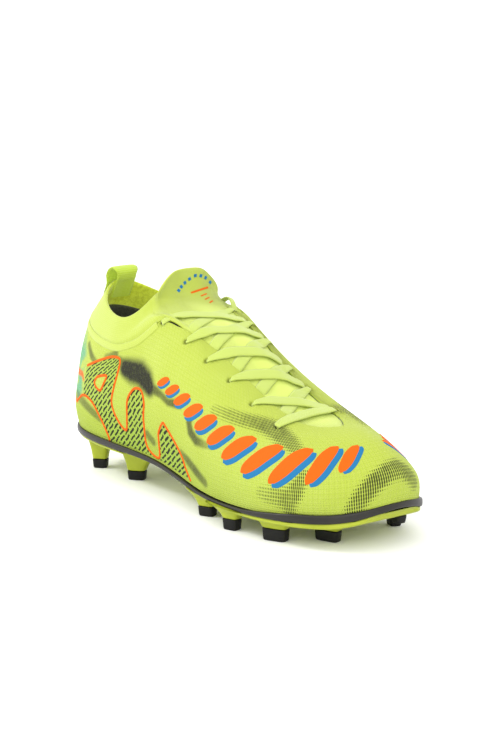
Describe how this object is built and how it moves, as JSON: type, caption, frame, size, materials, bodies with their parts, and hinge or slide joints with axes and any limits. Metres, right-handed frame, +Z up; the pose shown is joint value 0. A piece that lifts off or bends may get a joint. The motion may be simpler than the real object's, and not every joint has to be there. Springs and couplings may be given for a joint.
{
  "type": "soccer cleat",
  "caption": "Low-cut sock-fit knit soccer cleat for a right foot, with laces, a heel pull loop, a tongue tab and a moulded studded plate.",
  "frame": {"origin": "on the ground, under the middle of the shoe's own box", "axes": "+X from the heel to the toe, +Y to the inner (medial) side of the right foot, +Z up"},
  "size_m": [0.2768, 0.0915, 0.132],
  "materials": {
    "knit": "matt engineered knit, neon yellow",
    "collar_knit": "matt stretch knit, pale neon yellow",
    "webbing": "ribbed webbing",
    "lace": "flat woven lace",
    "lining": "brushed textile over foam",
    "board": "stitched fibre board",
    "plate": "satin moulded plastic",
    "lime_frame": "satin moulded plastic",
    "stud_tip": "matt hard polyurethane"
  },
  "bodies": {
    "boot": {"knit_upper": "knit", "ankle_collar": "collar_knit", "tongue": "knit", "pull_loop_end_outer": "webbing", "pull_loop_end_inner": "webbing", "lace": "lace", "heel_lining": "lining", "insole_board": "board", "sockliner": "lining", "sole_plate": "plate", "heel_stud_frame": "lime_frame", "forefoot_stud_frame": "lime_frame", "stud_tip_heel_lateral_rear": "stud_tip", "stud_tip_heel_lateral_front": "stud_tip", "stud_tip_heel_medial_rear": "stud_tip", "stud_tip_heel_medial_front": "stud_tip", "stud_tip_lateral_1": "stud_tip", "stud_tip_lateral_2": "stud_tip", "stud_tip_lateral_3": "stud_tip", "stud_tip_lateral_4": "stud_tip", "stud_tip_medial_1": "stud_tip", "stud_tip_medial_2": "stud_tip", "stud_tip_medial_3": "stud_tip", "stud_tip_toe": "stud_tip"},
    "tab": {"tongue_tab": "collar_knit"},
    "loop": {"heel_pull_loop": "webbing"}
  },
  "joints": [
    {"name": "tab_fold", "type": "hinge", "parent": "boot", "child": "tab", "pos_m": [-0.0375, 0.0025, 0.1125], "axis": [0, 1, 0], "range_deg": [0, 35], "stiffness_Nm_per_rad": 0.02},
    {"name": "loop_fold", "type": "hinge", "parent": "boot", "child": "loop", "pos_m": [-0.1163, 0.0025, 0.1152], "axis": [0, 1, 0], "range_deg": [-50, 8], "stiffness_Nm_per_rad": 0.03}
  ]
}
